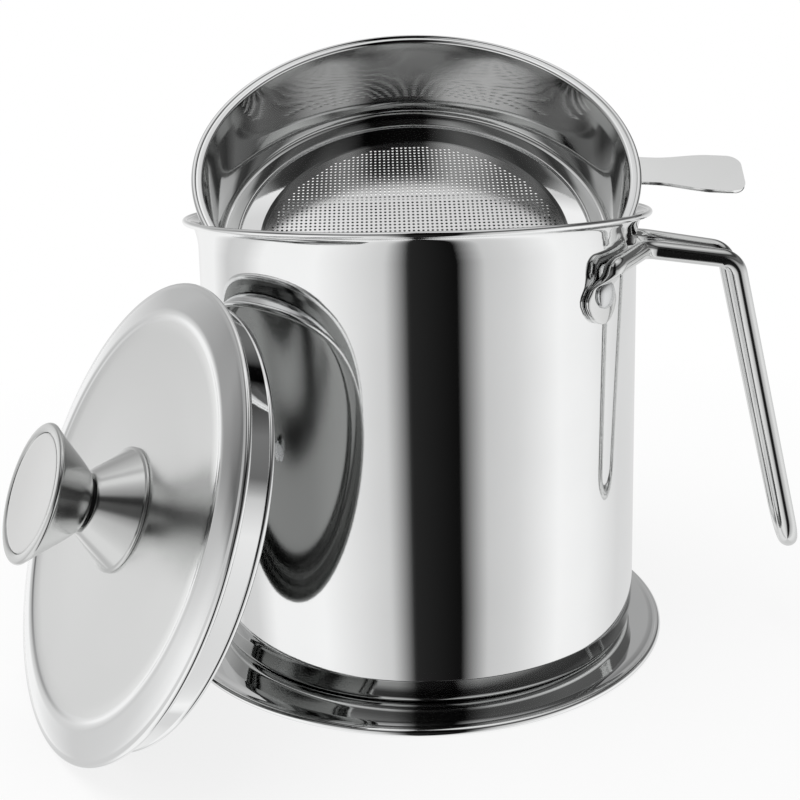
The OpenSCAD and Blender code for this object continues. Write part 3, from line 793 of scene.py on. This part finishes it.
def build_floor():
    """White paper that keeps the object's shadow."""
    me = bpy.data.meshes.new("floor")
    s, n = FLOOR_R, FLOOR_SIDES
    verts = [(0, 0, 0)] + [(s * COS(2 * math.pi * i / n), s * SIN(2 * math.pi * i / n), 0) for i in range(n)]
    me.from_pydata(verts, [], [(0, 1 + i, 1 + (i + 1) % n) for i in range(n)])
    ob = bpy.data.objects.new("floor", me)
    bpy.context.scene.collection.objects.link(ob)
    ob.location.z = -FLOOR_DROP
    m = bpy.data.materials.new("floor_paper")
    m.use_nodes = True
    t = Nodes(m.node_tree)
    m.node_tree.nodes.clear()
    diff = t.add("ShaderNodeBsdfDiffuse")
    diff.inputs[0].default_value = (PAPER, PAPER, PAPER, 1)
    lp = t.add("ShaderNodeLightPath")
    # near the object the paper keeps its shadow, further off it is the background's white
    co = t.add("ShaderNodeTexCoord").outputs["Object"]
    length = t.add("ShaderNodeVectorMath", operation="LENGTH")
    t.link(co, length.inputs[0])
    far = t.ramp(length.outputs["Value"], FLOOR_WHITE)
    share = t.math("MULTIPLY", lp.outputs["Is Camera Ray"], far)
    paper = mix(t, share, diff.outputs[0], white(t.add("ShaderNodeEmission")))
    t.link(paper, t.add("ShaderNodeOutputMaterial").inputs[0])
    me.materials.append(m)
    ob.visible_glossy = False


def build_world():
    """White room with a dark strip and a dark belt in front, seen by the metal. The camera sees
    plain white, and matt surfaces get a soft even light."""
    w = bpy.data.worlds.new("studio")
    bpy.context.scene.world = w
    w.use_nodes = True
    t = Nodes(w.node_tree)
    w.node_tree.nodes.clear()
    sep = t.add("ShaderNodeSeparateXYZ")
    t.link(t.add("ShaderNodeTexCoord").outputs["Generated"], sep.inputs[0])
    x, y, z = sep.outputs

    def turned(a, b):
        return t.math("ADD", t.math("MULTIPLY", x, a), t.math("MULTIPLY", y, b))

    def share(angle, whole):
        """An angle as 0 to 1 of a whole turn or half turn, 0.5 in its middle."""
        return t.math("ADD", t.math("DIVIDE", angle, whole), 0.5)

    across, along = turned(-SIN(FRONT), COS(FRONT)), turned(COS(FRONT), SIN(FRONT))
    bearing = share(t.math("ARCTAN2", across, along), 2 * math.pi)
    height = share(t.math("ARCSINE", z), math.pi)

    def by_bearing(stops):
        return t.ramp(bearing, [(0.5 + a / 360, v) for a, v in stops])

    def by_height(stops):
        return t.ramp(height, [(0.5 + a / 180, v) for a, v in stops])

    dark = t.math("MULTIPLY", t.math("SUBTRACT", 1.0, by_height(ROOM)), by_bearing(IN_FRONT))
    level = t.math("MULTIPLY", by_bearing(SIDES), by_height(FALL_OFF))
    level = t.math("MULTIPLY", level, t.math("SUBTRACT", 1.0, dark))
    room = t.add("ShaderNodeBackground")
    white(room)
    t.link(level, room.inputs[1])
    plain, soft = white(t.add("ShaderNodeBackground")), white(t.add("ShaderNodeBackground"), SOFT_LIGHT)
    lp = t.add("ShaderNodeLightPath")
    lit = mix(t, lp.outputs["Is Glossy Ray"], soft, room.outputs[0])
    seen = mix(t, lp.outputs["Is Camera Ray"], lit, plain)
    t.link(seen, t.add("ShaderNodeOutputWorld").inputs[0])


def build_lamp():
    """One large soft lamp above, which draws the shadow."""
    lamp = bpy.data.lights.new("soft_top", "AREA")
    lamp.shape = "DISK"
    lamp.size = LAMP_SIZE
    lamp.energy = LAMP_POWER
    ob = bpy.data.objects.new("soft_top", lamp)
    bpy.context.scene.collection.objects.link(ob)
    ob.location = LAMP_AT
    ob.rotation_euler = (Vector(LAMP_AIM) - Vector(LAMP_AT)).to_track_quat("-Z", "Y").to_euler()
    ob.visible_glossy = False


build_floor()
build_world()
build_lamp()

bpy.context.scene.view_settings.view_transform = "Standard"
